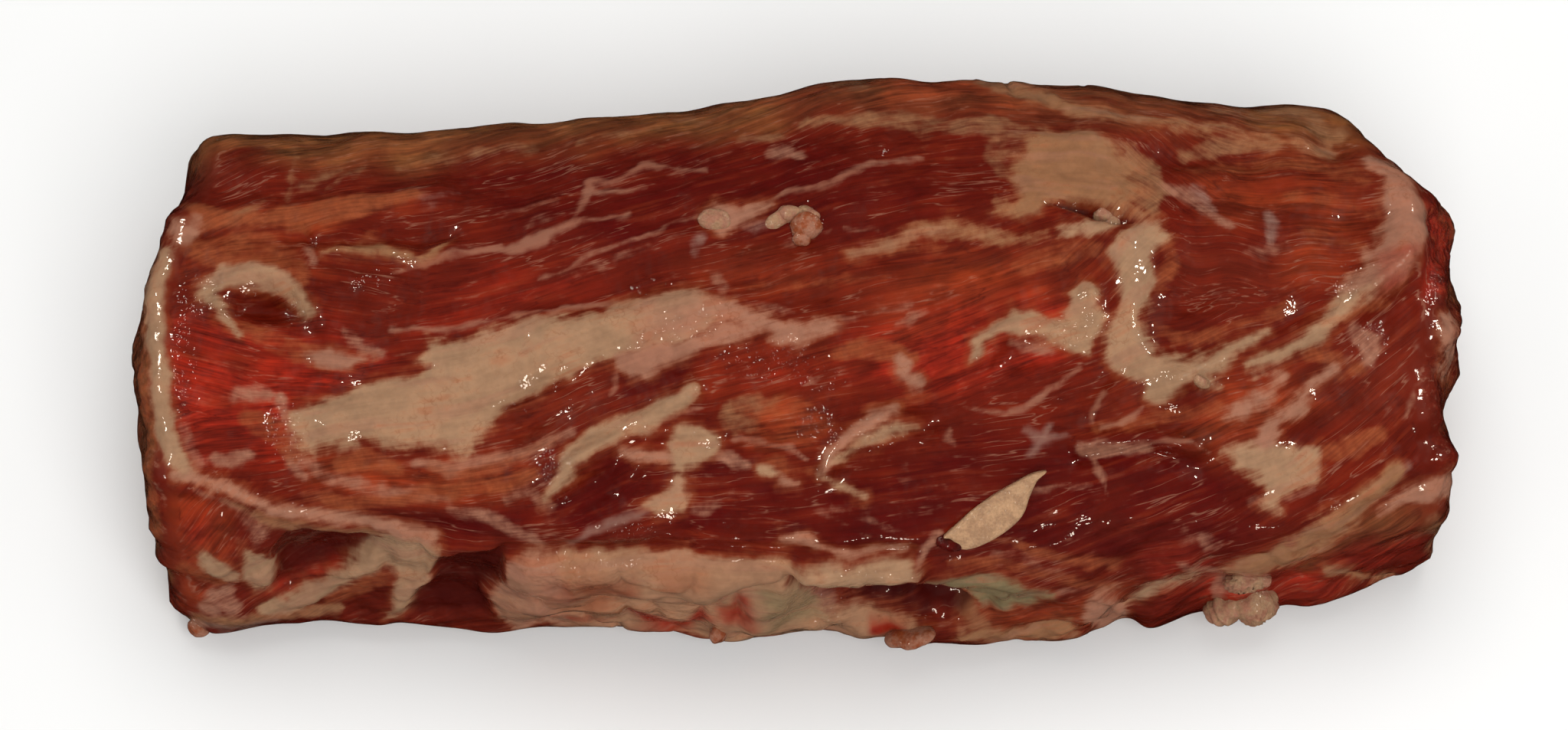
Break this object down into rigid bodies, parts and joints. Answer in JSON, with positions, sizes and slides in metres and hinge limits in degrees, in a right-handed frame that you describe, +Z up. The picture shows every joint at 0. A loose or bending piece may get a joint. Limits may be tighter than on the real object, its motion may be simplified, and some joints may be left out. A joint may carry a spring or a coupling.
{
  "type": "lamb rib eye",
  "caption": "Raw boneless piece of lamb, an elongated block of several muscles with seams of fat, cut square at both ends and lying flat.",
  "frame": {"origin": "centre of the bounding box in X and Y, at the height of the surface that the meat lies on", "axes": "+X along the muscle grain towards the end with the slanted corner, +Y away from the near side that shows the fat slab, +Z up"},
  "size_m": [0.1894, 0.0829, 0.0476],
  "materials": {
    "meat": "wet"
  },
  "bodies": {
    "root": {"lamb_rib_eye": "meat"}
  },
  "joints": []
}
